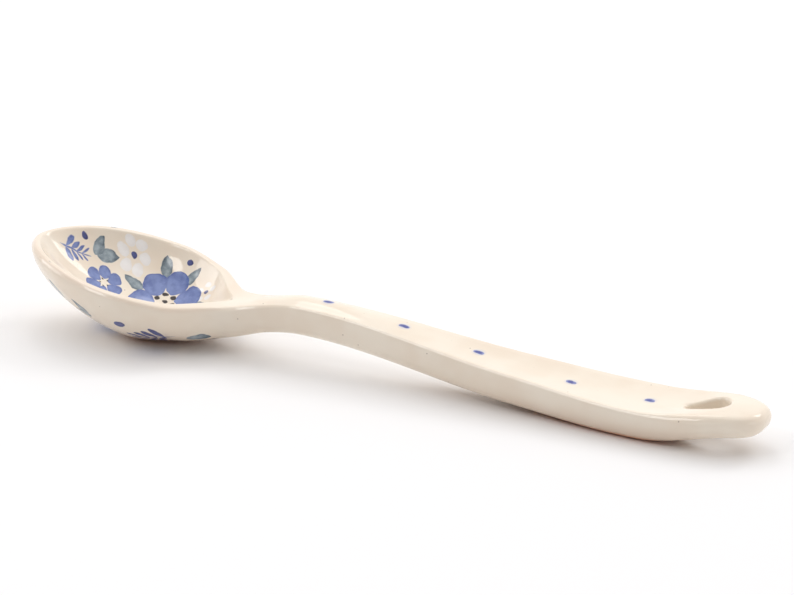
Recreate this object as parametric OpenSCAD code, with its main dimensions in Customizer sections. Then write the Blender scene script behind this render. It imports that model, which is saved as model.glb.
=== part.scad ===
// Glazed stoneware serving spoon in one piece: a deep oval bowl with a rounded lip, a crowned neck, and a long handle
// that swings down to the table, is dished along its top and turns up at an end with a rounded eye to hang it by.
// X runs from the bowl's tip to the handle's end, Z is up, and the spoon lies on the table at Z 0 as it does in use.

/* [Length] */
// Length of the whole spoon
spoon_l = 190; // [184:1:204]

/* [Bowl] */
// Distance from the tip to the bowl's widest place
bowl_mid = 30; // [27:0.5:32]
// Width of the bowl at its widest place
bowl_w = 38.6; // [33:0.2:44]
// Height of the rim at the tip
tip_h = 20.5; // [18:0.1:24]
// Height of the rim at the widest place
rim_h = 16.4; // [14.5:0.1:18]
// Height of the rim at its lowest place, just before the neck
dip_h = 12.6; // [11.5:0.1:13.6]
// Distance from the tip to the bowl's shoulder, where it starts to close
shoulder_x = 43.4; // [41:0.2:46]
// Width over the shoulder
shoulder_w = 31.8; // [28:0.2:33]
// Thickness of the whole bowl, rim to underside, at the shoulder
shoulder_t = 13; // [12.2:0.1:13.6]
// Distance from the tip to the throat, where the bowl runs into the neck
throat_x = 55.4; // [53.6:0.2:58]
// Width over the throat
throat_w = 13.6; // [12:0.2:16]
// Thickness at the throat
throat_t = 9.1; // [8.2:0.1:10]
// Width of the rim, from the outer face to the start of the hollow
rim_wall = 2; // [1.7:0.1:2.6]
// Radius of the outer edge of the lip
lip_r = 1.3; // [0.8:0.1:1.5]
// Softness of the inner edge of the lip
lip_soft = 0.9; // [0.5:0.1:1.5]
// Softness of the hollow's end, where it runs out into the neck
throat_soft = 2.6; // [1.2:0.1:3.4]
// Thickness of the bowl's floor
floor_t = 3.2; // [2.2:0.1:5]
// Distance from the tip to the end of the hollow
hollow_end = 55; // [52:0.5:57]
// Depth ground off flat under the bowl and the handle, where they stand
foot_cut = 0.35; // [0.2:0.05:0.6]

/* [Neck] */
// Distance from the tip to the plane where the bowl ends and the handle starts
neck_x = 66; // [62:0.5:70]
// Width of the neck there
neck_w = 8.8; // [8.4:0.2:11]
// Thickness of the neck there
neck_t = 7.7; // [7:0.1:8.8]
// Distance from the tip to the top of the neck's arch
arch_x = 74.4; // [72:0.2:80]
// Height of the neck's arch over the table
arch_h = 15.4; // [14.2:0.1:17]
// Width of the neck at the arch
arch_w = 8.7; // [8:0.1:10.4]
// Height of the crown across the top of the neck
neck_crown = 0.9; // [0:0.1:1.2]

/* [Handle] */
// Distance from the tip to the middle station of the handle
mid_x = 130; // [116:1:136]
// Height of the top edge there
mid_h = 9.9; // [9:0.1:11.6]
// Width of the handle there
mid_w = 14.7; // [12:0.1:16.6]
// Thickness of the handle there
mid_t = 8.5; // [7.8:0.1:9]
// Distance from the tip to the place where the handle lies on the table
rest_x = 162; // [154:1:166]
// Thickness of the handle where it lies on the table
rest_t = 7.7; // [7:0.1:8.6]
// Greatest width of the handle, near its end
handle_w = 18.6; // [16:0.2:21]
// Height of the turned up end
end_h = 9.8; // [9:0.1:12]
// Thickness of the handle at its end
end_t = 5.5; // [5:0.1:6.6]
// Height of the crown across the top at the eye
eye_crown = 0.5; // [0:0.1:0.6]
// Depth of the dish where it runs into the eye's narrow end
eye_dip = 0.8; // [0.4:0.05:1]
// Depth of the dish along the top
dish_d = 0.65; // [0:0.05:1]
// Radius of the long edges of the top
edge_r = 0.7; // [0.4:0.1:1.2]
// Radius of the top edge round the end
end_r = 1.9; // [0.8:0.1:2.4]

/* [Eye] */
// Distance from the handle's end to the middle of the eye's round end
eye_back = 12.5; // [11:0.1:14]
// Width of the eye
eye_w = 6.8; // [5:0.2:8]
// Length of the eye
eye_l = 10.1; // [8.6:0.1:12]
// Width of the eye's narrow end
eye_tip = 3; // [2:0.1:6]
// Radius rounded onto the eye's edges
eye_r = 1; // [0.4:0.1:1.4]

/* [Painted dots] */
// How many blue dots run along the handle
dot_count = 5; // [1:1:5]
// Diameter of a dot
dot_d = 2.4; // [1.2:0.1:3.6]
// How deep the dots' thick colour sits in the glaze
dot_depth = 0.3; // [0.2:0.05:0.6]
// Distance from the tip to the first dot
dot_first = 80.4; // [74:0.2:82]
// Distance from one dot to the next
dot_pitch = 20.4; // [14:0.1:21]

/* [Hidden] */

// the stoneware's cream and the cobalt blue
cream = [0.94, 0.89, 0.81];
cobalt = [0.24, 0.28, 0.58];
// how far a cutter passes the surface it cuts, and the least length that counts
over = 2;
tiny = 0.001;

// facets: stations round the tip, along the closing bowl, along the handle and round its end, and rows up the sides
tip_steps = 14;
side_steps = 28;
grip_steps = 36;
end_steps = 11;
eye_steps = 40;
round_steps = 5;
// rows from the keel out to the edge and from the edge in over the top, as shares of the way out
under_shares = [0, 0.16, 0.34, 0.55, 0.72, 0.84, 0.92, 0.965, 0.99];
// how far each dot strays along and across the handle, as shares of the pitch
along_shares = [0, -0.02, -0.09, 0.07, 0];
across_shares = [0.03, 0.02, 0.04, -0.02, 0.01];
hollow_shares = [1, 0.975, 0.94, 0.89, 0.82, 0.71, 0.55, 0.32, 0];
grip_top_shares = [1, 0.84, 0.62, 0.38, 0];
// past the hollow its rows keep this share of the way out
past_share = 0.35;

// forms of the rounded sections: the power of the distance from the keel and the power that closes it
bowl_power = 1.8;
bowl_close = 1.74;
grip_power = 4.5;
grip_close = 2.2;
// form of the oval outline round the tip and round the handle's end
tip_power = 1.72;
end_power = 2.85;
// form of the hollow, and how squarely it ends before the neck
hollow_close = 0.8;
hollow_square = 3.5;

// the rim is lowest a little before the throat
dip_x = throat_x - (throat_x - shoulder_x) * 0.15;
// where the oval of the handle's end starts, and where its underside starts to round off
oval_x = rest_x + (spoon_l - rest_x) * 0.1;
tail_x = spoon_l - handle_w / 2;
// the middle line that the rows close in on stops short of the tip and of the end
keel_tip = bowl_mid * 0.57;
keel_end = spoon_l - handle_w * 0.44;

// a smooth line through a list of [place, value], flat wherever it turns
function pitch(t, i) = (t[i + 1][1] - t[i][1]) / (t[i + 1][0] - t[i][0]);
function slope(t, i) =
  i == 0 || i == len(t) - 1 ? 0
  : pitch(t, i - 1) * pitch(t, i) <= 0 ? 0
  : 2 * pitch(t, i - 1) * pitch(t, i) / (pitch(t, i - 1) + pitch(t, i));
function span(t, x, i = 0) = i >= len(t) - 2 || x <= t[i + 1][0] ? i : span(t, x, i + 1);
function ease(t, x) =
  x <= t[0][0] ? t[0][1]
  : x >= t[len(t) - 1][0] ? t[len(t) - 1][1]
  : let(i = span(t, x), w = t[i + 1][0] - t[i][0], s = (x - t[i][0]) / w)
    t[i][1] * (1 - 3 * s * s + 2 * s * s * s) + t[i + 1][1] * (3 * s * s - 2 * s * s * s)
    + slope(t, i) * w * (s - 2 * s * s + s * s * s) + slope(t, i + 1) * w * (s * s * s - s * s);
function blend(x, a, b) = ease([[a, 0], [b, 1]], x);
function clip(v) = min(max(v, 0), 1);
// a rounded end: one in the middle and none at the edge
function dome(s, power, close) = pow(1 - pow(clip(abs(s)), power), 1 / close);

// the lines of the spoon, from named stations along it
plan_line = [[bowl_mid, bowl_w / 2], [shoulder_x, shoulder_w / 2], [throat_x, throat_w / 2], [neck_x, neck_w / 2],
  [arch_x, arch_w / 2], [mid_x, mid_w / 2], [oval_x, handle_w / 2]];
top_line = [[0, tip_h], [bowl_mid, rim_h], [dip_x, dip_h], [arch_x, arch_h], [mid_x, mid_h], [rest_x, rest_t],
  [spoon_l - handle_w / 3, end_h], [spoon_l, end_h]];
thick_line = [[bowl_mid, rim_h + foot_cut], [shoulder_x, shoulder_t], [throat_x, throat_t], [neck_x, neck_t],
  [mid_x, mid_t], [rest_x, rest_t + foot_cut], [spoon_l, end_t]];
crown_line = [[hollow_end, 0], [arch_x, neck_crown], [mid_x, -dish_d], [rest_x, -dish_d],
  [spoon_l - eye_back - eye_l * 0.6, -eye_dip], [spoon_l - eye_back + eye_w * 0.2, eye_crown]];
edge_line = [[hollow_end, lip_r], [arch_x, edge_r], [rest_x, edge_r], [tail_x, end_r]];

// half the width of the outline at x
function half_w(x) =
  x <= bowl_mid ? bowl_w / 2 * dome((bowl_mid - x) / bowl_mid, 2, tip_power)
  : x >= oval_x ? handle_w / 2 * dome((x - oval_x) / (spoon_l - oval_x), end_power, end_power)
  : ease(plan_line, x);
function top_z(x) = ease(top_line, x);
function edge(x) = ease(edge_line, x);
function wall_z(x) = top_z(x) - edge(x);
// how far the keel hangs below the edge at x
function keel(x) =
  (ease(thick_line, x) - edge(x))
  * (x < bowl_mid ? dome((bowl_mid - x) / bowl_mid, bowl_power, bowl_close)
    : x > tail_x ? dome((x - tail_x) / (spoon_l - tail_x), grip_power, grip_close) : 1);
function share_out(x, y) = half_w(x) < tiny ? 0 : clip(abs(y) / half_w(x));
function turn(x) = blend(x, shoulder_x, arch_x);
function section(x, s) =
  dome(s, bowl_power + (grip_power - bowl_power) * turn(x), bowl_close + (grip_close - bowl_close) * turn(x));
function under_z(x, y) = wall_z(x) - keel(x) * section(x, share_out(x, y));

// the hollow: its outline keeps the rim's width, and its depth is soft at the lip
function lean(x) = (half_w(x + tiny) - half_w(x - tiny)) / (2 * tiny);
function hollow_w(x) =
  x <= bowl_mid ? (bowl_w / 2 - rim_wall) * dome((bowl_mid - x) / (bowl_mid - rim_wall), 2, tip_power)
  : (half_w(x) - rim_wall * norm([1, lean(x)])) * dome((x - bowl_mid) / (hollow_end - bowl_mid), hollow_square, 2);
function hollow_far(x) = (x - bowl_mid) / (x <= bowl_mid ? bowl_mid - rim_wall : hollow_end - bowl_mid);
function hollow_raw(x, y) =
  abs(hollow_far(x)) >= 1 || abs(y) >= hollow_w(x) ? 0
  : (rim_h - floor_t) * pow((1 - pow(hollow_far(x), 2)) * (1 - pow(y / hollow_w(x), 2)), hollow_close);
function soft(x) = ease([[bowl_mid, lip_soft], [hollow_end, throat_soft]], x);
function hollow(x, y) = norm([hollow_raw(x, y), soft(x)]) - soft(x);
function over_z(x, y, s) = top_z(x) + ease(crown_line, x) * (1 - s * s) - hollow(x, y);

// the middle line's place for a station at x
function keel_x(x) =
  x < bowl_mid ? keel_tip + x * (bowl_mid - keel_tip) / bowl_mid
  : x > oval_x ? oval_x + (x - oval_x) * (keel_end - oval_x) / (spoon_l - oval_x) : x;

// one point of the skin: station x, side -1 or 1, share s of the way out, inset from the outline
function out_at(x, side, s, inset) =
  let(k = keel_x(x), p = [x - k, side * half_w(x)], far = norm(p), q = s * (far - inset) / far)
  [k + p[0] * q, p[1] * q];
function at(p, z) = [p[0] - spoon_l / 2, p[1], z];
// the rows over the bowl follow the hollow's outline, so that its lip and its end run along them
function lip_share(x) =
  let(far = norm([x - keel_x(x), half_w(x)]), start = 1 - (rim_wall - edge(x)) / (far - edge(x)))
  max(past_share, start * (x <= bowl_mid ? 1 : dome(hollow_far(x), hollow_square, 2)));
function bowl_tops(x) = concat([1], lip_share(x) * hollow_shares);
// the rows of one station, from the keel round the edge to the middle of the top
function rows(x, side, tops) = concat(
  [for (s = under_shares) let(p = out_at(x, side, s, 0)) at(p, under_z(p[0], p[1]))],
  [for (i = [0:round_steps - 1]) let(a = 90 * i / round_steps, p = out_at(x, side, 1, edge(x) * (1 - cos(a))))
    at(p, wall_z(x) + edge(x) * sin(a))],
  [for (s = tops) let(p = out_at(x, side, s, edge(x))) at(p, over_z(p[0], p[1], s))]);

// a closed skin over stations that start at the tip or the end and stop at a flat cut across the neck
module skin(stations, flip) {
  n = len(stations) - 1;
  function line(j, side) = rows(stations[j], side, flip ? grip_top_shares : bowl_tops(stations[j]));
  lines = [for (j = [-n:n]) line(abs(j), j < 0 ? -1 : 1)];
  r = len(lines[0]) - 1;
  wide = 2 * n + 1;
  points = concat(
    [for (j = [0:n]) lines[n + j][0]],
    [for (i = [1:r - 1]) for (l = lines) l[i]],
    [for (j = [0:n]) lines[n + j][r]]);
  function id(i, j) = i == 0 ? abs(j) : i == r ? n + 1 + (r - 1) * wide + abs(j) : n + 1 + (i - 1) * wide + j + n;
  sides = [for (i = [0:r - 1]) for (j = [-n:n - 1])
    each [[id(i, j), id(i, j + 1), id(i + 1, j + 1)], [id(i, j), id(i + 1, j + 1), id(i + 1, j)]]];
  cut = concat([for (i = [r:-1:0]) id(i, n)], [for (i = [1:r - 1]) id(i, -n)]);
  all = concat(sides, [cut]);
  polyhedron(points, flip ? [for (f = all) [for (k = [len(f) - 1:-1:0]) f[k]]] : all);
}

tip_stations = concat(
  [for (i = [0:tip_steps - 1]) bowl_mid * (1 - cos(90 * i / tip_steps))],
  [for (i = [0:side_steps]) bowl_mid + (neck_x - bowl_mid) * i / side_steps]);
end_stations = concat(
  [for (i = [0:end_steps - 1]) spoon_l - (spoon_l - oval_x) * (1 - cos(90 * i / end_steps))],
  [for (i = [0:grip_steps]) oval_x + (neck_x - oval_x) * i / grip_steps]);

// what is ground off level with the table
module table() {
  translate([-spoon_l / 2 - over, -bowl_w / 2 - over, -bowl_w]) cube([spoon_l + 2 * over, bowl_w + 2 * over, bowl_w]);
}

module bowl() {
  color(cream) difference() {
    skin(tip_stations, false);
    table();
  }
}

// the eye: a drop-shaped hole whose edges are rounded over the top and the underside as they lie there
eye_x = spoon_l - eye_back;
function egg(a, grow) =
  let(big = eye_w / 2 + grow, small = eye_tip / 2 + grow, run = eye_l - eye_w / 2 - eye_tip / 2)
  cos(a) >= (small - big) / run ? [eye_x + big * cos(a), big * sin(a)]
  : [eye_x - run + small * cos(a), small * sin(a)];
// rounding stops short of lying flat, so that the cut meets the face at a clear angle
round_stop = 72;
eye_rounds = 4;
module eye() {
  turns = [for (i = [0:eye_steps - 1]) 360 * i / eye_steps];
  function ring(grow, under, drop) = [for (a = turns) let(p = egg(a, grow))
    at(p, under ? under_z(p[0], p[1]) + drop : over_z(p[0], p[1], share_out(p[0], p[1])) - drop)];
  lips = [for (i = [eye_rounds:-1:0]) let(b = round_stop * i / eye_rounds) [eye_r * (1 - cos(b)), eye_r * (1 - sin(b))]];
  rings = concat(
    [ring(lips[0][0], true, -over)],
    [for (l = lips) ring(l[0], true, l[1])],
    [for (i = [eye_rounds:-1:0]) ring(lips[i][0], false, lips[i][1])],
    [ring(lips[0][0], false, -over)]);
  n = len(rings) - 1;
  points = [for (r = rings) each r];
  function id(i, j) = i * eye_steps + j % eye_steps;
  walls = [for (i = [0:n - 1]) for (j = [0:eye_steps - 1])
    each [[id(i, j), id(i + 1, j), id(i + 1, j + 1)], [id(i, j), id(i + 1, j + 1), id(i, j + 1)]]];
  base = [for (j = [1:eye_steps - 2]) [id(0, 0), id(0, j), id(0, j + 1)]];
  lid = [for (j = [1:eye_steps - 2]) [id(n, 0), id(n, j + 1), id(n, j)]];
  polyhedron(points, concat(walls, base, lid));
}

// where a dot was set down by hand, off its even place by shares of the pitch
function stray(shares, i) = shares[i % len(shares)] * dot_pitch;

module dot(i) {
  x = dot_first + i * dot_pitch + stray(along_shares, i);
  y = stray(across_shares, i);
  z = over_z(x, y, share_out(x, y)) - dot_depth;
  translate([x - spoon_l / 2, y, z]) cylinder(d = dot_d, h = dot_depth + over, $fn = 32);
}

module dots() {
  for (i = [0:dot_count - 1]) dot(i);
}
module grip() {
  difference() {
    skin(end_stations, true);
    table();
    eye();
  }
}

module handle() {
  color(cream) difference() {
    grip();
    dots();
  }
}

module handle_dots() {
  color(cobalt) intersection() {
    grip();
    dots();
  }
}

bowl();
handle();
handle_dots();
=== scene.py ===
# %% [markdown]
# # A glazed stoneware spoon
# The lesson dresses a imported CAD spoon. The real one is pressed from cream stoneware, painted with cobalt blue, grey
# green and white under a clear glaze, and photographed on a white sweep under soft lamps. The CAD solids come in first
# as the fixed frame.

import math

import bmesh
import bpy
import numpy as np
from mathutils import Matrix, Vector


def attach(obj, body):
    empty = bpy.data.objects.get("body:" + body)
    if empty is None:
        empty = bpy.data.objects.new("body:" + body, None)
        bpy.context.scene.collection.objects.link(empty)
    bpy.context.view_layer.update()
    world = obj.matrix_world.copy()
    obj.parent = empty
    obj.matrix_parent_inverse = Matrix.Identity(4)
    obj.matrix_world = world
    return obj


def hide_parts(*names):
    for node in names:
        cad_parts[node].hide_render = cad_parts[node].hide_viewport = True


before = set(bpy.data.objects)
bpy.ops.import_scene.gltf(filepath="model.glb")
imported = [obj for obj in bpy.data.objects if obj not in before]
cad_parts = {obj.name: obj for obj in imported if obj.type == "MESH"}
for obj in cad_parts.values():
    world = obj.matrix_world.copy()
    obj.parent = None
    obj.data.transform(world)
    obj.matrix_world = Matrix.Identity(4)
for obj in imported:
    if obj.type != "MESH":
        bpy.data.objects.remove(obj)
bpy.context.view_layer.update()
MM = 0.001

# %% [markdown]
# The camera comes early, since every judgement is made through it. The photograph was taken from about 20 degrees above
# the table with a long lens, from the side where the bowl points away to the left. Its place was fitted to the
# outlines. Angles are in radians, and distances from the camera are in metres.

# %% Put up the camera
ELEVATION, SWING, FAR = 0.357826, 0.4820, 0.6887286
AIMED_AT = Vector((3.7231, 0, 20.5657)) * MM
LENS_PX, PHOTO_W, SENSOR_W = 3000, 794, 36
SEEN_FROM, SEEN_TO = 0.01, 20

look = Vector((-math.sin(SWING) * math.cos(ELEVATION), math.cos(SWING) * math.cos(ELEVATION), -math.sin(ELEVATION)))
camera = bpy.data.objects.new("camera", bpy.data.cameras.new("camera"))
camera.data.sensor_width = SENSOR_W
camera.data.lens = LENS_PX * SENSOR_W / PHOTO_W
camera.data.clip_start, camera.data.clip_end = SEEN_FROM, SEEN_TO
camera.location = AIMED_AT - look * FAR
camera.rotation_mode = "QUATERNION"
camera.rotation_quaternion = look.to_track_quat("-Z", "Y")
bpy.context.scene.collection.objects.link(camera)
bpy.context.scene.camera = camera
print("camera at", [round(v, 4) for v in camera.location], "lens", round(camera.data.lens, 1))

# %% [markdown]
# ## The spoon's lines
# A spoon is lofted from a few lines: the outline seen from above, the top edge and the thickness seen from the
# side, and how the top is crowned or dished. The CAD holds facets of these lines. Glaze shows every facet in its
# reflections, so the lines are drawn again here and sampled finely. Lengths are in millimetres from the bowl's tip.

# %% A smooth line through stations
SPOON_L, BOWL_W, HANDLE_W, RIM_H = 190, 38.6, 18.6, 16.4
RIM_WALL, FLOOR_T = 2, 3.2
BOWL_MID, SHOULDER_X, HOLLOW_END, WAIST_X, NECK_X, ARCH_X, GRIP_X, REST_X = 30, 43.4, 55, 55.4, 66, 74.4, 130, 162
OVAL_X = REST_X + (SPOON_L - REST_X) * 0.1
TAIL_X = SPOON_L - HANDLE_W / 2


def eased(stations):
    """A function of x: smooth through [place, value] stations, and flat wherever it turns."""
    xs, vs = np.array(stations, float).T
    pitch = np.diff(vs) / np.diff(xs)
    both = pitch[:-1] * pitch[1:]
    total = np.where(both > 0, pitch[:-1] + pitch[1:], 1)
    slope = np.concatenate([[0], np.where(both > 0, 2 * both / total, 0), [0]])

    def line(x):
        x = np.clip(x, xs[0], xs[-1])
        i = np.clip(np.searchsorted(xs, x, side="left") - 1, 0, len(xs) - 2)
        w = xs[i + 1] - xs[i]
        s = (x - xs[i]) / w
        rise = 3 * s**2 - 2 * s**3
        lean = slope[i] * w * (s - 2 * s**2 + s**3) + slope[i + 1] * w * (s**3 - s**2)
        return vs[i] * (1 - rise) + vs[i + 1] * rise + lean

    return line


def dome(s, power, close):
    """A rounded end: one in the middle and none at the edge."""
    return (1 - np.clip(np.abs(s), 0, 1) ** power) ** (1 / close)


# %% [markdown]
# The lines run over named stations, so that what belongs together moves together. `crown` is how far the middle of the
# top stands over its edges, `edge` is the radius of the long edges, and `turning` is how far the round section of the
# bowl has turned into the squarer one of the handle.

# %% The lines seen from above and from the side
plan = eased(
    [[BOWL_MID, BOWL_W / 2], [SHOULDER_X, 15.9], [WAIST_X, 6.8], [NECK_X, 4.4], [ARCH_X, 4.35], [GRIP_X, 7.35]]
    + [[OVAL_X, HANDLE_W / 2]]
)
top = eased(
    [[0, 20.5], [BOWL_MID, RIM_H], [53.6, 12.6], [ARCH_X, 15.4], [GRIP_X, 9.9], [REST_X, 7.7], [183.8, 9.8]]
    + [[SPOON_L, 9.8]]
)
thick = eased(
    [[BOWL_MID, 16.75], [SHOULDER_X, 13], [WAIST_X, 9.1], [NECK_X, 7.7], [GRIP_X, 8.5], [REST_X, 8.05], [SPOON_L, 5.5]]
)
crown = eased([[HOLLOW_END, 0], [ARCH_X, 0.9], [GRIP_X, -0.65], [REST_X, -0.65], [171.44, -0.8], [178.86, 0.5]])
edge = eased([[HOLLOW_END, 1.3], [ARCH_X, 0.7], [160, 0.7], [176, 2.2]])
turning = eased([[SHOULDER_X, 0], [ARCH_X, 1]])
print("rim at the widest place", float(top(BOWL_MID)), "mm, neck", float(top(ARCH_X)), "mm")

# %% [markdown]
# The outline closes in ovals round the tip and the handle's end. The keel is the lowest line, and a section runs from
# it out to the edge as a superellipse: nearly round under the bowl, and squarer with soft corners along the handle.
# Each pair below says how full such a curve is: the power on its way out, and the root on its way back.

# %% The outline, the underside and the keel
TIP_PLAN, END_PLAN = (2, 1.72), (2.85, 2.85)
BOWL_SECTION, GRIP_SECTION = (1.8, 1.74), (4.5, 2.2)


def half_w(x):
    tip = BOWL_W / 2 * dome((BOWL_MID - x) / BOWL_MID, *TIP_PLAN)
    end = HANDLE_W / 2 * dome((x - OVAL_X) / (SPOON_L - OVAL_X), *END_PLAN)
    return np.where(x <= BOWL_MID, tip, np.where(x >= OVAL_X, end, plan(x)))


def keel(x):
    """How far the lowest line hangs below the edge."""
    tip = np.where(x < BOWL_MID, dome((BOWL_MID - x) / BOWL_MID, *BOWL_SECTION), 1)
    end = np.where(x > TAIL_X, dome((x - TAIL_X) / (SPOON_L - TAIL_X), *GRIP_SECTION), 1)
    return (thick(x) - edge(x)) * tip * end


def share_out(x, y):
    wide = half_w(x)
    return np.where(wide < MM, 0, np.clip(np.abs(y) / np.maximum(wide, MM), 0, 1))


def under_z(x, y):
    power, close = (bowl + (grip - bowl) * turning(x) for bowl, grip in zip(BOWL_SECTION, GRIP_SECTION))
    return top(x) - edge(x) - keel(x) * dome(share_out(x, y), power, close)


# %% [markdown]
# The hollow keeps the rim's width all round, is softer at its end before the neck than at its lip, and never shows a
# hard line: the glaze pools in every corner. Its depth is a product of two parabolas, softened where it meets the rim.

# %% The hollow and the top
HOLLOW_PLAN, HOLLOW_FULL = (3.5, 2), 0.8
soft = eased([[BOWL_MID, 0.9], [HOLLOW_END, 2.6]])


def hollow_far(x):
    """How far towards the hollow's tip or its end x lies, as a share."""
    return (x - BOWL_MID) / np.where(x <= BOWL_MID, BOWL_MID - RIM_WALL, HOLLOW_END - BOWL_MID)


def hollow_w(x):
    lean = (half_w(x + MM) - half_w(x - MM)) / (2 * MM)
    near_tip = (BOWL_W / 2 - RIM_WALL) * dome((BOWL_MID - x) / (BOWL_MID - RIM_WALL), *TIP_PLAN)
    past = (half_w(x) - RIM_WALL * np.hypot(1, lean)) * dome(hollow_far(x), *HOLLOW_PLAN)
    return np.where(x <= BOWL_MID, near_tip, past)


def hollow(x, y):
    wide = np.maximum(hollow_w(x), MM)
    inside = (np.abs(hollow_far(x)) < 1) & (np.abs(y) < wide)
    bowl = np.clip((1 - hollow_far(x) ** 2) * (1 - (y / wide) ** 2), 0, 1)
    raw = np.where(inside, (RIM_H - FLOOR_T) * bowl**HOLLOW_FULL, 0)
    return np.hypot(raw, soft(x)) - soft(x)


def over_z(x, y, s):
    """The top's height at x and y, where s is the share of the way out to the edge."""
    return top(x) + crown(x) * (1 - s * s) - hollow(x, y)


print("hollow's depth in the middle", round(float(hollow(np.array(float(BOWL_MID)), np.array(0.0))), 2), "mm")

# %% [markdown]
# ## The body
# One sheet makes the whole closed body. A grid is wrapped round the spoon: one way it follows the outline from the tip
# along both sides, and the other way each row climbs from the keel round the edge and in over the top to the middle.
# The first and last rows fold onto themselves, and welding the doubles closes them into a skin with no hard pole.

# %% Places for the stations
TIP_STEPS, BOWL_STEPS, GRIP_STEPS, END_STEPS = 44, 64, 110, 30
QUARTER = math.pi / 2

stations = np.concatenate(
    [
        BOWL_MID * (1 - np.cos(np.linspace(0, QUARTER, TIP_STEPS, endpoint=False))),
        np.linspace(BOWL_MID, NECK_X, BOWL_STEPS, endpoint=False),
        np.linspace(NECK_X, OVAL_X, GRIP_STEPS, endpoint=False),
        OVAL_X + (SPOON_L - OVAL_X) * np.sin(np.linspace(0, QUARTER, END_STEPS)),
    ]
)
keel_tip, keel_end = BOWL_MID * 0.57, SPOON_L - HANDLE_W * 0.44
middle = np.interp(stations, [0, BOWL_MID, OVAL_X, SPOON_L], [keel_tip, BOWL_MID, OVAL_X, keel_end])
reach = np.hypot(stations - middle, half_w(stations))
print(len(stations), "stations from tip to end")

# %% [markdown]
# Round the long edges the glaze pulls thin and leaves a narrow flat, which carries the line of light along the handle.
# The flat fades before the far end. There the edge grows into a fuller round, a little earlier than in the CAD, to
# carry the highlight of the photograph. So the rows round the edge are a low arc, a flat and a high arc, given as steps
# out and up.

# %% Steps round the edge
LOW_ROWS, FLAT_SHARES, HIGH_ROWS = 4, (0.1, 0.9), 4
ROUND_ROWS = LOW_ROWS + len(FLAT_SHARES) + HIGH_ROWS
FLAT_FROM, FLAT_TO = math.radians(26), math.radians(50)
FLAT_FADES = (164, 174)


def on_arc(turn):
    return math.cos(turn), math.sin(turn)


def rounding():
    flatness = np.interp(stations, FLAT_FADES, (1, 0))
    steps = [on_arc(turn) for turn in np.linspace(0, FLAT_FROM, LOW_ROWS)]
    for share in FLAT_SHARES:
        round_step = on_arc(FLAT_FROM + share * (FLAT_TO - FLAT_FROM))
        flat_step = [low + share * (high - low) for low, high in zip(on_arc(FLAT_FROM), on_arc(FLAT_TO))]
        steps.append([arc + flatness * (flat - arc) for arc, flat in zip(round_step, flat_step)])
    return steps + [on_arc(turn) for turn in np.linspace(FLAT_TO, QUARTER, HIGH_ROWS, endpoint=False)]


# %% The rows round the whole spoon
UNDER_ROWS, RIM_ROWS, TOP_ROWS = 26, 3, 32
UNDER_SPREAD, TOP_SPREAD, LEAST_LIP = 0.9, 1.25, 0.35


def row_at(share, inset):
    """The row's plan places on the side towards the camera."""
    q = share * (reach - inset) / reach
    return middle + (stations - middle) * q, -half_w(stations) * q


lip_start = 1 - (RIM_WALL - edge(stations)) / (reach - edge(stations))
closing = np.where(stations <= BOWL_MID, 1, dome(hollow_far(stations), *HOLLOW_PLAN))
lip_share = np.maximum(LEAST_LIP, lip_start * closing)

rows = []
for t in np.linspace(0, 1, UNDER_ROWS, endpoint=False):
    x, y = row_at(np.full(len(stations), math.sin(t * QUARTER) ** UNDER_SPREAD), 0)
    rows.append((x, y, np.maximum(under_z(x, y), 0), 0))
for out, up in rounding():
    x, y = row_at(1, edge(stations) * (1 - out))
    rows.append((x, y, top(stations) - edge(stations) * (1 - up), 0))
for t in np.linspace(0, 1, RIM_ROWS, endpoint=False):
    s = 1 - t * (1 - lip_share)
    x, y = row_at(s, edge(stations))
    rows.append((x, y, over_z(x, y, s), 1))
for t in np.linspace(0, 1, TOP_ROWS + 1):
    s = lip_share * (1 - t**TOP_SPREAD)
    x, y = row_at(s, edge(stations))
    rows.append((x, y, over_z(x, y, s), 1))
print(len(rows), "rows from the keel to the middle of the top")

# %% [markdown]
# The painter works on the clay's surface and not on a flat drawing, so each point also keeps where it lies when the
# wall is unrolled: how far along the spoon, and how far out from the middle measured over the curve. The third number
# says whether the point is on the top or underneath. The pattern reads this, and so follows the bowl without
# stretching.

# %% Unroll the walls
PACES_OUT, PACES_ALONG, UNROLLED_FROM, UNROLLED_TO = 25, 600, 0.5, 80


def unrolled(x, y, height):
    """The way out from the middle line to y, measured over the surface at x."""
    steps = np.linspace(0, 1, PACES_OUT)[:, None]
    zs = height(np.broadcast_to(x, (PACES_OUT, len(x))), steps * y)
    return np.sign(y) * np.hypot(np.diff(steps * y, axis=0), np.diff(zs, axis=0)).sum(axis=0)


def along_surface(x, height):
    """How far along the middle of the surface x lies, from the bowl's deepest place."""
    xs = np.linspace(UNROLLED_FROM, UNROLLED_TO, PACES_ALONG)
    run = np.concatenate([[0], np.cumsum(np.hypot(np.diff(xs), np.diff(height(xs, np.zeros_like(xs)))))])
    return np.interp(x, xs, run) - np.interp(BOWL_MID, xs, run)


def top_height(x, y):
    return over_z(x, y, 0)


# %% Wrap the grid round the spoon
THIN_ROW, THIN_OVER = UNDER_ROWS + ROUND_ROWS * 0.7, 5
DOUBLES = 1e-7


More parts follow.
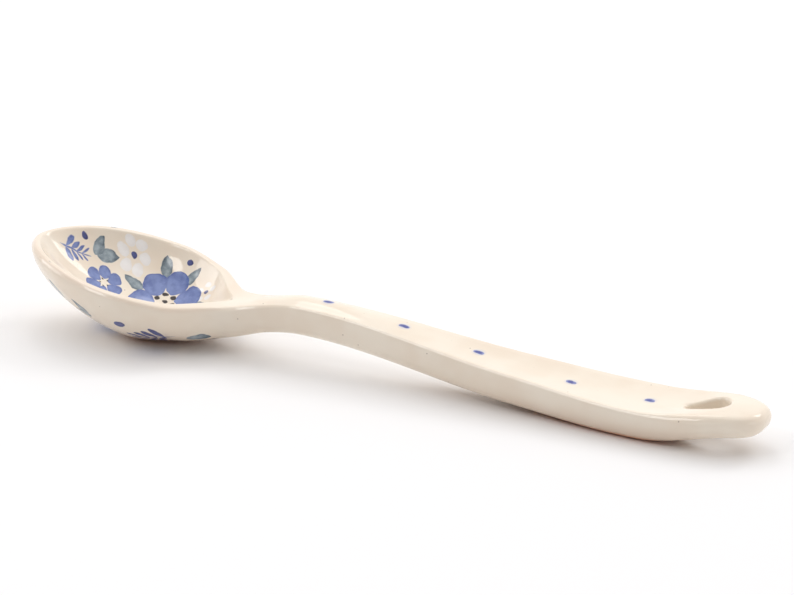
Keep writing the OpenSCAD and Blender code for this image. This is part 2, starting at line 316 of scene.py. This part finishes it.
def body_skin():
    last, last_row = len(stations) - 1, len(rows) - 1
    skin = bmesh.new()
    bmesh.ops.create_grid(skin, x_segments=2 * last, y_segments=last_row, size=0.5)
    paint = skin.verts.layers.float_vector.new("unrolled")
    rim = skin.verts.layers.float.new("thin_glaze")
    marks = []
    for x, y, z, side in rows:
        height = top_height if side else under_z
        marks.append((along_surface(x, height), unrolled(x, y, height)))
    for v in skin.verts:
        column = round((v.co.x + 0.5) * 2 * last)
        row = round((v.co.y + 0.5) * last_row)
        k, far = (column, 1) if column <= last else (2 * last - column, -1)
        x, y, z, side = rows[row]
        ahead, out = marks[row]
        v.co = Vector((x[k] - SPOON_L / 2, far * y[k], z[k])) * MM
        v[paint] = Vector((ahead[k], far * out[k], side))
        v[rim] = math.exp(-(((row - THIN_ROW) / THIN_OVER) ** 2))
    bmesh.ops.remove_doubles(skin, verts=skin.verts, dist=DOUBLES)
    bmesh.ops.recalc_face_normals(skin, faces=skin.faces)
    return skin


skin = body_skin()
body = bpy.data.objects.new("glazed_body", bpy.data.meshes.new("glazed_body"))
skin.to_mesh(body.data)
open_edges = sum(not e.is_manifold for e in skin.edges)
print(len(skin.faces), "faces, volume", round(skin.calc_volume() * 1e9), "mm3, open edges", open_edges)
skin.free()
bpy.context.scene.collection.objects.link(body)

# %% [markdown]
# ## The hanging eye
# The eye is pierced through the wet clay and wiped smooth, so its edges roll over onto the faces. It is a drop whose
# narrow end points to the bowl. A boolean with a straight drop would leave a sharp lip. The cutter flares instead: its
# rings follow the top and the underside as they lie there, and the cut meets each face almost level.

# %% Pierce the eye
EYE_BACK, EYE_W, EYE_L, EYE_TIP, EYE_R = 12.5, 6.8, 10.1, 3.0, 1.0
EYE_X = SPOON_L - EYE_BACK
EYE_TURNS, EYE_ROUNDS, EYE_BEND, CUT_PAST = 120, 9, math.radians(80), 2


def drop_outline(a, grow):
    """The drop's places at the angles a: round a big circle at the back and a small one towards the bowl."""
    big, small = EYE_W / 2 + grow, EYE_TIP / 2 + grow
    run = EYE_L - (EYE_W + EYE_TIP) / 2
    at_back = np.cos(a) >= (small - big) / run
    radius = np.where(at_back, big, small)
    return np.where(at_back, EYE_X, EYE_X - run) + radius * np.cos(a), radius * np.sin(a)


def eye_rings():
    turns = np.linspace(0, 2 * math.pi, EYE_TURNS + 1)
    bends = [EYE_BEND * i / EYE_ROUNDS for i in range(EYE_ROUNDS, -1, -1)]
    lips = [(EYE_R * (1 - math.cos(b)), EYE_R * (1 - math.sin(b))) for b in bends]
    outside = [(lips[0][0], -CUT_PAST)]
    rings = []
    for grow, depth in outside + lips:
        x, y = drop_outline(turns, grow)
        rings.append((x, y, under_z(x, y) + depth))
    for grow, depth in lips[::-1] + outside:
        x, y = drop_outline(turns, grow)
        rings.append((x, y, over_z(x, y, share_out(x, y)) - depth))
    return rings


def pierce(body):
    rings = eye_rings()
    cutter = bmesh.new()
    bmesh.ops.create_grid(cutter, x_segments=EYE_TURNS, y_segments=len(rings) - 1, size=0.5)
    for v in cutter.verts:
        x, y, z = rings[round((v.co.y + 0.5) * (len(rings) - 1))]
        k = round((v.co.x + 0.5) * EYE_TURNS)
        v.co = Vector((x[k] - SPOON_L / 2, y[k], z[k])) * MM
    bmesh.ops.remove_doubles(cutter, verts=cutter.verts, dist=DOUBLES)
    bmesh.ops.holes_fill(cutter, edges=cutter.edges, sides=0)
    bmesh.ops.recalc_face_normals(cutter, faces=cutter.faces)
    tool = bpy.data.objects.new("eye_cutter", bpy.data.meshes.new("eye_cutter"))
    cutter.to_mesh(tool.data)
    cutter.free()
    bpy.context.scene.collection.objects.link(tool)
    cut = body.modifiers.new("eye", "BOOLEAN")
    cut.operation, cut.solver, cut.object = "DIFFERENCE", "EXACT", tool
    whole = bpy.context.evaluated_depsgraph_get()
    pierced = bpy.data.meshes.new_from_object(body.evaluated_get(whole))
    body.modifiers.clear()
    body.data = pierced
    bpy.data.objects.remove(tool)


pierce(body)
print("pierced body has", len(body.data.polygons), "faces")

# %% [markdown]
# The cut leaves small odd triangles where it meets the rows. A few rounds of smoothing there do what the wet sponge
# does on the real spoon, and the glaze then runs over the eye's lip without a crease.

# %% Wipe the eye's edge
SPONGE_R, SPONGE_ROUNDS, SMALL_GAPS = 8.5, 4, 0.02
EYE_MID = EYE_X - EYE_L * 0.2


def wipe(body):
    wet = bmesh.new()
    wet.from_mesh(body.data)
    bmesh.ops.remove_doubles(wet, verts=wet.verts, dist=SMALL_GAPS * MM)
    eye = Vector((EYE_MID - SPOON_L / 2, 0, 0)) * MM
    near = [v for v in wet.verts if (v.co.xy - eye.xy).length < SPONGE_R * MM]
    for _ in range(SPONGE_ROUNDS):
        bmesh.ops.smooth_vert(wet, verts=near, factor=0.5, use_axis_x=True, use_axis_y=True, use_axis_z=True)
    print("wiped", len(near), "points; open edges", sum(not e.is_manifold for e in wet.edges))
    wet.to_mesh(body.data)
    wet.free()
    body.data.shade_smooth()


wipe(body)
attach(body, "root")
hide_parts("bowl", "handle")

# %% [markdown]
# ## The dots of thick colour
# Five dots run down the handle. They are set down with a loaded brush and stand a hair proud of the glaze, so each is
# a low blob of its own and catches its own light. Each starts as a sphere and is laid onto the handle's top. The places
# are even steps with the small slips of a hand, as shares of a step.

# %% Lay down the dots
DOT_D, DOT_PITCH, DOT_FIRST, DOT_RISE, DOT_SINK = 2.4, 20.4, 80.4, 0.05, 0.2
DOT_LONG, DOT_WIDE, COLOUR_SQUEEZE = 0.53, 0.47, 1.35
ALONG_SHARES, ACROSS_SHARES = [0, -0.02, -0.09, 0.07, 0], [0.03, 0.02, 0.04, -0.02, 0.01]
DOTS = [
    (DOT_FIRST + DOT_PITCH * (i + along), DOT_PITCH * across)
    for i, (along, across) in enumerate(zip(ALONG_SHARES, ACROSS_SHARES))
]


def paint_dots():
    blobs = bmesh.new()
    heart = blobs.verts.layers.float.new("from_heart")
    for number, (dx, dy) in enumerate(DOTS):
        made = bmesh.ops.create_uvsphere(blobs, u_segments=40, v_segments=16, radius=1)["verts"]
        for v in made:
            turn = math.atan2(v.co.y, v.co.x)
            v[heart] = math.hypot(v.co.x, COLOUR_SQUEEZE * v.co.y)
            wobble = 1 + 0.05 * math.sin(2 * turn + number) + 0.035 * math.sin(3 * turn + 2.4 * number)
            x = dx + v.co.x * DOT_D * DOT_LONG * wobble
            y = dy + v.co.y * DOT_D * DOT_WIDE * wobble
            lie = over_z(np.array(x), np.array(y), share_out(np.array(x), np.array(y)))
            rise = (DOT_RISE if v.co.z > 0 else DOT_SINK) * v.co.z
            v.co = Vector((x - SPOON_L / 2, y, float(lie) + rise)) * MM
    dots = bpy.data.objects.new("painted_dots", bpy.data.meshes.new("painted_dots"))
    blobs.to_mesh(dots.data)
    blobs.free()
    dots.data.shade_smooth()
    bpy.context.scene.collection.objects.link(dots)
    return dots


dots = paint_dots()
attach(dots, "root")
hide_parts("handle_dots")
print("dots", len(dots.data.polygons), "faces")

# %% [markdown]
# ## Finishes
# The glaze is one clear glassy coat over a pale body, with the painting under it. Colours are written as the eye sees
# them on a screen and turned into light values, and small helpers keep the node work short: each adds one node and
# gives back its result.


# %% Node helpers
def seen(*rgb):
    """A screen colour, 0 to 255, as light values."""
    return tuple((c / 255 / 12.92 if c < 10.3 else ((c / 255 + 0.055) / 1.055) ** 2.4) for c in rgb) + (1,)


def put(tree, kind, result=0, settings=(), **inputs):
    """One node. Its inputs are given by name, or as i0, i1 and so on by their place."""
    node = tree.nodes.new(kind)
    for name, value in dict(settings).items():
        setattr(node, name, value)
    for name, value in inputs.items():
        socket = node.inputs[int(name[1:])] if name[1:].isdigit() else node.inputs[name.replace("_", " ")]
        if isinstance(value, bpy.types.NodeSocket):
            tree.links.new(value, socket)
        else:
            socket.default_value = value
    return node.outputs[result]


def calc(tree, operation, *values, clamp=False):
    inputs = {f"i{i}": v for i, v in enumerate(values)}
    return put(tree, "ShaderNodeMath", 0, {"operation": operation, "use_clamp": clamp}, **inputs)


def vector(tree, operation, *values, result=0):
    inputs = {f"i{i}": v for i, v in enumerate(values)}
    return put(tree, "ShaderNodeVectorMath", result, {"operation": operation}, **inputs)


def split(tree, value):
    """The three numbers of a vector."""
    node = tree.nodes.new("ShaderNodeSeparateXYZ")
    tree.links.new(value, node.inputs[0])
    return node.outputs


def ramp(tree, value, low, high, to_low=0.0, to_high=1.0):
    settings = {"interpolation_type": "SMOOTHSTEP"}
    return put(tree, "ShaderNodeMapRange", 0, settings, i0=value, i1=low, i2=high, i3=to_low, i4=to_high)


def laid_over(tree, below, colour, mask):
    """One colour over another. In the mix node the colour sockets are 6 and 7, and the colour result is 2."""
    return put(tree, "ShaderNodeMix", 2, {"data_type": "RGBA"}, i0=mask, i6=below, i7=colour)


def cloud(tree, place, scale, detail=3.0, roughness=0.55):
    return put(tree, "ShaderNodeTexNoise", 0, {}, Vector=place, Scale=scale, Detail=detail, Roughness=roughness)


def place_in_mm(tree):
    return vector(tree, "MULTIPLY", put(tree, "ShaderNodeTexCoord", 3), (1000, 1000, 1000))


# %% [markdown]
# ### One brush stroke
# Petals, leaves and dots are all one press of a loaded brush: it starts at a point, runs some way in one direction,
# swells to a belly and lifts off. So one group draws a stroke, and every motif is a handful of strokes. It gives the
# stroke's cover and a shade that grows towards where the brush lifted off and along the edge where the colour pooled.
#
# The start's Z is linked to the cover before it, and nothing reads that Z. The link makes each stroke wait for the one
# before. Without it the strokes overfill the renderer's shader memory, and the whole body renders black.

# %% The brush stroke group
SOFT_EDGE, POOL_INSIDE, POOL_EDGE, POOL_SHADE, RUN_SHADE = 0.28, 1.3, 0.1, 0.45, 0.55
STROKE = ("x", "y", "turn", "length", "width", "belly", "point")


def brush_stroke_group():
    group = bpy.data.node_groups.new("brush_stroke", "ShaderNodeTree")
    face = group.interface
    face.new_socket("place", in_out="INPUT", socket_type="NodeSocketVector")
    for name in STROKE + ("wobble", "cover before", "shade before"):
        face.new_socket(name, in_out="INPUT", socket_type="NodeSocketFloat")
    face.new_socket("cover", in_out="OUTPUT", socket_type="NodeSocketFloat")
    face.new_socket("shade", in_out="OUTPUT", socket_type="NodeSocketFloat")
    given = group.nodes.new("NodeGroupInput").outputs
    start = put(group, "ShaderNodeCombineXYZ", 0, {}, X=given["x"], Y=given["y"], Z=given["cover before"])
    away = vector(group, "SUBTRACT", given["place"], start)
    about_z = {"rotation_type": "Z_AXIS", "invert": True}
    turned = split(group, put(group, "ShaderNodeVectorRotate", 0, about_z, Vector=away, Angle=given["turn"]))
    run = calc(group, "DIVIDE", turned[0], given["length"], clamp=True)
    swell = calc(group, "POWER", run, given["belly"])
    bow = calc(group, "MULTIPLY", calc(group, "MULTIPLY", swell, calc(group, "SUBTRACT", 1.0, swell)), 4.0)
    half_width = calc(group, "MULTIPLY", given["width"], 0.5)
    half = calc(group, "MULTIPLY", calc(group, "POWER", bow, given["point"]), half_width)
    gap = calc(group, "SUBTRACT", half, calc(group, "ABSOLUTE", turned[1]))
    rough = calc(group, "ADD", gap, calc(group, "MULTIPLY", given["wobble"], calc(group, "MINIMUM", half, 1.0)))
    cover = ramp(group, rough, 0.0, SOFT_EDGE)
    pooled = ramp(group, rough, POOL_INSIDE, POOL_EDGE, 0.0, POOL_SHADE)
    shade = calc(group, "MULTIPLY", cover, calc(group, "ADD", calc(group, "MULTIPLY", run, RUN_SHADE), pooled))
    out = group.nodes.new("NodeGroupOutput")
    group.links.new(calc(group, "MAXIMUM", cover, given["cover before"]), out.inputs[0])
    group.links.new(calc(group, "MAXIMUM", shade, given["shade before"]), out.inputs[1])
    return group


BRUSH = brush_stroke_group()


def strokes_together(tree, place, wobble, strokes):
    """All strokes of one colour in a chain: each passes on the greater cover and the greater shade."""
    before = None
    for given in strokes:
        node = tree.nodes.new("ShaderNodeGroup")
        node.node_tree = BRUSH
        tree.links.new(place, node.inputs["place"])
        tree.links.new(wobble, node.inputs["wobble"])
        for name, value in zip(STROKE, given):
            node.inputs[name].default_value = math.radians(value) if name == "turn" else value
        if before:
            tree.links.new(before.outputs["cover"], node.inputs["cover before"])
            tree.links.new(before.outputs["shade"], node.inputs["shade before"])
        before = node
    return before.outputs["cover"], before.outputs["shade"]


# %% [markdown]
# ### Motifs
# The painting here is a plain garden pattern of its own: round blossoms with dotted hearts, florets of white dots,
# ferns and leaf pairs. Each motif is a list of strokes as (x, y, turn, length, width, belly, point) in millimetres and
# degrees on the unrolled wall, measured from the bowl's deepest place towards the handle and across.


# %% Motifs as lists of strokes
def round_dot(x, y, size):
    return (x - size / 2, y, 0, size, size * 0.92, 1.0, 0.5)


def leaf(x, y, turn, length=6.0, width=3.3):
    return (x, y, turn, length, width, 0.8, 0.75)


def petals(x, y, count, turn, heart, length, width):
    """A blossom: its petals start round a heart and differ a little in length and width."""
    made = []
    for k in range(count):
        a = turn + 360 * k / count
        wide = width * (1 + 0.06 * math.sin(2.1 * k + turn))
        base = (x + heart * math.cos(math.radians(a)), y + heart * math.sin(math.radians(a)))
        made.append((*base, a, length * (1 + 0.05 * math.cos(1.7 * k)), wide, 1.35, 0.5))
    return made


def dot_ring(x, y, count, far, size, turn=0.0):
    angles = [math.radians(turn + 360 * k / count) for k in range(count)]
    return [round_dot(x + far * math.cos(a), y + far * math.sin(a), size) for a in angles]


def fern(x, y, turn, length, pairs, reach):
    """A thin stalk with pairs of leaflets that get smaller and lean in towards its end."""
    a = math.radians(turn)
    made = [(x, y, turn, length, 0.75, 1.0, 0.35)]
    for k in range(pairs):
        t = length * (0.18 + 0.68 * k / pairs)
        size = reach * (1 - 0.45 * k / pairs)
        for side in (-1, 1):
            lean = turn + side * (52 - 5 * k)
            made.append((x + t * math.cos(a), y + t * math.sin(a), lean, size, size * 0.36, 1.2, 0.6))
    return made


# %% Motifs inside the bowl
INSIDE = {
    "white": dot_ring(-11.2, 14.4, 6, 3.5, 3.5, 10)
    + dot_ring(11.8, 10.6, 5, 2.0, 2.0, 20)
    + dot_ring(10.5, -9.5, 6, 3.2, 3.0, 5),
    "grey_green": [
        leaf(-20.4, 7.6, 84, 5.2, 3.0), leaf(-19.6, 7.8, 38), leaf(-1.2, 13.4, 108), leaf(5.0, 13.0, 66, 5.2, 3.0),
        leaf(8.4, 6.4, 0), leaf(-5.6, 7.8, 170), leaf(-12.6, -5.2, 206, 5.4, 3.0), leaf(-12.2, -4.6, 156, 5.0, 2.8),
        leaf(4, -12, -60),
    ],
    "cobalt": petals(1.4, 7.0, 6, 22, 2.2, 7.0, 6.9)
    + petals(-14.4, 3.2, 6, 0, 1.0, 3.9, 3.8)
    + fern(-29, 2.0, 30, 9.4, 4, 4.2)
    + fern(-6, -13, 190, 11, 4, 4.2)
    + petals(2.5, -15.5, 6, 10, 0.9, 3.4, 3.3)
    + fern(14.6, -5.0, -30, 6.8, 3, 3.0),
    "dots": [
        round_dot(-11.2, 14.4, 2.2), round_dot(11.8, 10.6, 1.4), round_dot(10.5, -9.5, 1.9), round_dot(-24.6, 9.4, 1.9),
        round_dot(3.6, 18.6, 2.1), round_dot(12.4, 2.4, 1.5), round_dot(-22.5, -7.5, 1.7), round_dot(-1, -3.5, 1.7),
    ],
    "dark": dot_ring(1.4, 7.0, 6, 2.2, 1.6, 50) + [round_dot(1.4, 7.0, 1.3)] + dot_ring(-14.4, 3.2, 5, 1.1, 0.7, 0),
}
print({colour: len(strokes) for colour, strokes in INSIDE.items()}, "strokes inside the bowl")

# %% [markdown]
# Outside, the painter repeats only a little: a fern, leaves and dots on each side, and one small blossom on the keel.
# The walls are unrolled from the keel here, so the near side has negative places across and the far side positive.

# %% Motifs under the bowl
OUTSIDE = {
    "grey_green": [
        leaf(-5.0, -17.6, 164, 5.4, 2.7), leaf(-5.4, -18.2, 196, 5.4, 2.7), leaf(-14.0, -16.4, 180, 5.4, 2.7),
        leaf(17, -9, 25), leaf(-5.0, 17.6, 196, 5.4, 2.7), leaf(-5.4, 18.2, 164, 5.4, 2.7),
        leaf(-14.0, 16.4, 180, 5.4, 2.7), leaf(16.5, 10, -20),
    ],
    "cobalt": petals(-8, 0, 6, 0, 1.2, 4.2, 4.0),
    "dots": fern(15.6, -11.6, 184, 13.5, 4, 5.8)
    + fern(15.6, 11.6, 176, 13.5, 4, 5.8)
    + [
        round_dot(3.4, -19.2, 2.9), round_dot(-21.5, -10.6, 2.0), round_dot(3.4, 19.2, 2.9),
        round_dot(-21.5, 10.6, 2.0), round_dot(-8, 0, 1.8), round_dot(22, -4, 1.8), round_dot(22, 5, 1.8),
    ],
}
print({colour: len(strokes) for colour, strokes in OUTSIDE.items()}, "strokes outside")

# %% [markdown]
# ### The glaze
# The body shows cream through the clear glaze, a little warmer where the glaze runs thin over the rim, with a few iron
# specks. Low on the wall it is painted darker and warmer as painted shade, and darker still where it meets the floor,
# which also warms the shadow there. The pigments lie over it in this order: white slip, grey green, cobalt, blue dots,
# dark dots. Each has a light and a deep colour and a strength, and a fine noise mottles it as brushed pigment does. The
# surface has a soft ripple and fine pores.

# %% Pigments over the cream
PIGMENTS = {
    "white": (seen(252, 251, 251), seen(243, 240, 239), 0.9),
    "grey_green": (seen(162, 178, 188), seen(60, 84, 102), 0.95),
    "cobalt": (seen(124, 144, 200), seen(76, 98, 164), 0.96),
    "dots": (seen(80, 92, 156), seen(44, 54, 114), 0.96),
    "dark": (seen(40, 28, 36), seen(24, 16, 20), 0.97),
}


def painted(tree, place, wobble, motifs, below, grain, side):
    """The motifs of one side laid over the colour below."""
    for name, strokes in motifs.items():
        light, deep, strength = PIGMENTS[name]
        cover, shade = strokes_together(tree, place, wobble, strokes)
        tone = calc(tree, "ADD", shade, ramp(tree, grain, 0.3, 0.72, -0.32, 0.34), clamp=True)
        shown = calc(tree, "MULTIPLY", calc(tree, "MULTIPLY", cover, strength), side)
        below = laid_over(tree, below, laid_over(tree, light, deep, tone), shown)
    return below


# %% The cream body
CREAM, WARM_CREAM, THIN_RIM = seen(246, 235, 219), seen(242, 228, 210), seen(233, 210, 192)
# The first two colours here are painted shade: the body darker and warmer low on the wall, and darker still at the
# floor.
LOW_WALL_PAINTED_SHADE, FOOT_PAINTED_SHADE, IRON = seen(206, 172, 146), seen(228, 158, 118), seen(132, 108, 92)
BOWL_ENDS, LIP_BEGINS = -36.0, -46.0


def cream_body(tree, place, along, low):
    """The clay under the glaze, with painted shade low down. Along and low are the place's x and z in millimetres."""
    rim = put(tree, "ShaderNodeAttribute", 2, {"attribute_name": "thin_glaze"})
    cream = laid_over(tree, CREAM, WARM_CREAM, ramp(tree, cloud(tree, place, 0.085, 2.0), 0.35, 0.68))
    on_lip = ramp(tree, along, BOWL_ENDS, LIP_BEGINS, 0.1, 0.38)
    cream = laid_over(tree, cream, THIN_RIM, calc(tree, "MULTIPLY", rim, on_lip))
    # Painted shade: darker and warmer from 6.5 mm down, and a deeper brown band at the foot that also warms the floor's
    # shadow.
    cream = laid_over(tree, cream, LOW_WALL_PAINTED_SHADE, ramp(tree, low, 6.5, 0.0, 0.0, 0.5))
    cream = laid_over(tree, cream, FOOT_PAINTED_SHADE, ramp(tree, low, 1.8, 0.4, 0.0, 0.85))
    specks = put(tree, "ShaderNodeTexVoronoi", 0, {}, Vector=place, Scale=0.34)
    some = ramp(tree, cloud(tree, place, 0.21, 0.0), 0.5, 0.56)
    speck = calc(tree, "MULTIPLY", ramp(tree, specks, 0.075, 0.03), some)
    return laid_over(tree, cream, IRON, calc(tree, "MULTIPLY", speck, 0.75))


# %% [markdown]
# A hand never draws a true circle, so the drawing's places are bent by a slow noise before the strokes read them. The
# painting stops before the neck. Round each thick dot a little of its colour has run into the glaze as a pale halo.

# %% The glaze with its painting
BEND, HALO_BLUE = 2.2, seen(176, 186, 220)
GLASS = 1.5


def drawing_places(tree, place, wall):
    flat = put(tree, "ShaderNodeCombineXYZ", 0, {}, X=wall[0], Y=wall[1])
    noise = put(tree, "ShaderNodeTexNoise", 1, {}, Vector=place, Scale=0.16)
    bend = vector(tree, "MULTIPLY", vector(tree, "SUBTRACT", noise, (0.5, 0.5, 0.5)), (BEND, BEND, BEND))
    return vector(tree, "ADD", flat, bend)


def halo(tree, place):
    plain = vector(tree, "MULTIPLY", place, (1, 1, 0))
    near = SPOON_L
    for dx, dy in DOTS:
        gap = vector(tree, "DISTANCE", plain, (dx - SPOON_L / 2, dy, 0), result=1)
        near = calc(tree, "MINIMUM", gap, near)
    return ramp(tree, near, 2.0, 0.9, 0.0, 0.4)


def surface_bump(tree, place):
    ripple = cloud(tree, vector(tree, "MULTIPLY", place, (0.05, 0.5, 0.3)), 1.0, 2.0)
    pores = cloud(tree, place, 1.4, 2.0)
    height = calc(tree, "ADD", calc(tree, "MULTIPLY", ripple, 0.012), calc(tree, "MULTIPLY", pores, 0.004))
    return put(tree, "ShaderNodeBump", 0, {}, Strength=0.8, Distance=MM, Height=height)


def glaze_material():
    glaze = bpy.data.materials.new("cream_glaze")
    glaze.use_nodes = True
    tree = glaze.node_tree
    place = place_in_mm(tree)
    along, _, low = split(tree, place)
    wall = split(tree, put(tree, "ShaderNodeAttribute", 1, {"attribute_name": "unrolled"}))
    colour = cream_body(tree, place, along, low)

    drawn = drawing_places(tree, place, wall)
    wobble = ramp(tree, cloud(tree, place, 0.45, 2.0), 0.2, 0.8, -0.2, 0.2)
    grain = cloud(tree, place, 0.55, 4.0, 0.6)
    inside = calc(tree, "GREATER_THAN", wall[2], 0.5)
    beneath = calc(tree, "SUBTRACT", 1.0, inside)
    near_bowl = calc(tree, "LESS_THAN", along, BOWL_ENDS)
    for motifs, side in ((INSIDE, inside), (OUTSIDE, beneath)):
        colour = painted(tree, drawn, wobble, motifs, colour, grain, calc(tree, "MULTIPLY", side, near_bowl))
    colour = laid_over(tree, colour, HALO_BLUE, calc(tree, "MULTIPLY", halo(tree, place), inside))

    shader = tree.nodes["Principled BSDF"]
    tree.links.new(colour, shader.inputs["Base Color"])
    tree.links.new(surface_bump(tree, place), shader.inputs["Normal"])
    tree.links.new(ramp(tree, cloud(tree, place, 0.3, 3.0), 0.3, 0.7, 0.05, 0.1), shader.inputs["Roughness"])
    shader.inputs["IOR"].default_value = GLASS
    return glaze


body.data.materials.clear()
body.data.materials.append(glaze_material())
print("glaze has", len(body.data.materials[0].node_tree.nodes), "nodes")

# %% [markdown]
# The thick dots are nearly navy in the middle, where the brush left most colour, and pale towards the edge.

# %% Cobalt for the dots
NAVY, PALE_BLUE, STAINED_CREAM = seen(70, 78, 150), seen(142, 154, 204), seen(236, 228, 216)


def cobalt_material():
    cobalt = bpy.data.materials.new("cobalt_colour")
    cobalt.use_nodes = True
    tree = cobalt.node_tree
    out = put(tree, "ShaderNodeAttribute", 2, {"attribute_name": "from_heart"})
    blotch = ramp(tree, cloud(tree, place_in_mm(tree), 1.1, 3.0), 0.3, 0.7, -0.25, 0.25)
    colour = laid_over(tree, NAVY, PALE_BLUE, ramp(tree, calc(tree, "ADD", out, blotch), 0.45, 1.1))
    colour = laid_over(tree, colour, STAINED_CREAM, ramp(tree, out, 0.9, 1.25))
    shader = tree.nodes["Principled BSDF"]
    tree.links.new(colour, shader.inputs["Base Color"])
    shader.inputs["Roughness"].default_value = 0.14
    shader.inputs["IOR"].default_value = GLASS
    return cobalt


dots.data.materials.append(cobalt_material())

# %% [markdown]
# ## The table and the light
# The photograph has a white sweep without an edge. The floor here is a plain pale matt plane that keeps the soft
# shadows, and the light brings it just to white where nothing shades it.

# %% White floor
FLOOR_HALF, FLOOR_WHITE = 4, (0.9, 0.9, 0.912, 1)


def floor_material():
    white = bpy.data.materials.new("white_sweep")
    white.use_nodes = True
    tree = white.node_tree
    tree.nodes.clear()
    matt = put(tree, "ShaderNodeBsdfDiffuse", 0, {}, Color=FLOOR_WHITE)
    tree.links.new(matt, tree.nodes.new("ShaderNodeOutputMaterial").inputs[0])
    return white


table = bmesh.new()
bmesh.ops.create_grid(table, x_segments=1, y_segments=1, size=FLOOR_HALF)
floor = bpy.data.objects.new("white_floor", bpy.data.meshes.new("white_floor"))
table.to_mesh(floor.data)
table.free()
floor.data.materials.append(floor_material())
bpy.context.scene.collection.objects.link(floor)

# %% [markdown]
# One broad soft lamp hangs overhead and a little behind, so the shadows fall short and towards the camera. Three small
# boxes, one in front, one behind and one past the far end, give the glaze the reflections that run along its edge, its
# lip and its round end. Two low windows fill from the left and the right.


# %% Lamps
def lamp(name, place, aim, wide, deep, power):
    """An oval soft lamp, with its place, aim and size in metres and its power in watts."""
    light = bpy.data.lights.new(name, "AREA")
    light.shape, light.size, light.size_y, light.energy = "ELLIPSE", wide, deep, power
    light.color = (1, 0.99, 0.985)
    held = bpy.data.objects.new(name, light)
    held.location = place
    held.rotation_mode = "QUATERNION"
    held.rotation_quaternion = (Vector(aim) - Vector(place)).to_track_quat("-Z", "Y")
    bpy.context.scene.collection.objects.link(held)


lamp("key_lamp", (0, 0.3, 1.5), (0, 0, 0), 3.0, 2.0, 5.1)
lamp("front_box", (-0.62, -0.88, 1.1), (0, 0, 0.01), 0.5, 0.3, 2.2)
lamp("back_box", (-0.42, 0.52, 1.1), (0, 0, 0.01), 0.4, 0.7, 1.4)
lamp("end_box", (0.32, 0.82, 0.85), (0.09, 0, 0.01), 0.4, 0.4, 1.8)
lamp("left_window", (-1.05, -0.25, 0.5), (-0.05, 0, 0.01), 0.6, 0.5, 2.5)
lamp("right_window", (1.05, -0.25, 0.5), (0.05, 0, 0.01), 0.6, 0.5, 1.4)

# %% [markdown]
# The room lights the spoon from above and behind, as under a large soft ceiling, and is dim low down in front. The
# camera sees it plain white, and so do the glaze's reflections up to some way over the horizon, where the white sweep
# behind a real spoon would end.

# %% The room
CEILING, DIM, BRIGHT = (-0.14, 0.74, 0.66), 0.05, 0.94
SWEEP_FROM, SWEEP_TO = 0.36, 0.5

room = bpy.data.worlds.new("white_room")
bpy.context.scene.world = room
room.use_nodes = True
tree = room.node_tree
tree.nodes.clear()
direction = put(tree, "ShaderNodeTexCoord", 0)
ray = tree.nodes.new("ShaderNodeLightPath").outputs
towards_ceiling = vector(tree, "DOT_PRODUCT", direction, CEILING, result=1)
lit = ramp(tree, towards_ceiling, -0.6, 0.9, DIM, BRIGHT)
white_sweep = ramp(tree, split(tree, direction)[2], SWEEP_FROM, SWEEP_TO, 1.0, 0.0)
in_mirror = calc(tree, "MAXIMUM", ray["Is Glossy Ray"], ray["Is Transmission Ray"])
mirrored = calc(tree, "MULTIPLY", in_mirror, white_sweep)
strength = calc(tree, "MAXIMUM", calc(tree, "MAXIMUM", ray["Is Camera Ray"], mirrored), lit)
air = put(tree, "ShaderNodeBackground", 0, {}, Color=(1, 0.98, 0.965, 1), Strength=strength)
tree.links.new(air, tree.nodes.new("ShaderNodeOutputWorld").inputs[0])
bpy.context.scene.view_settings.view_transform = "Standard"
print("the room is lit from", DIM, "to", BRIGHT)
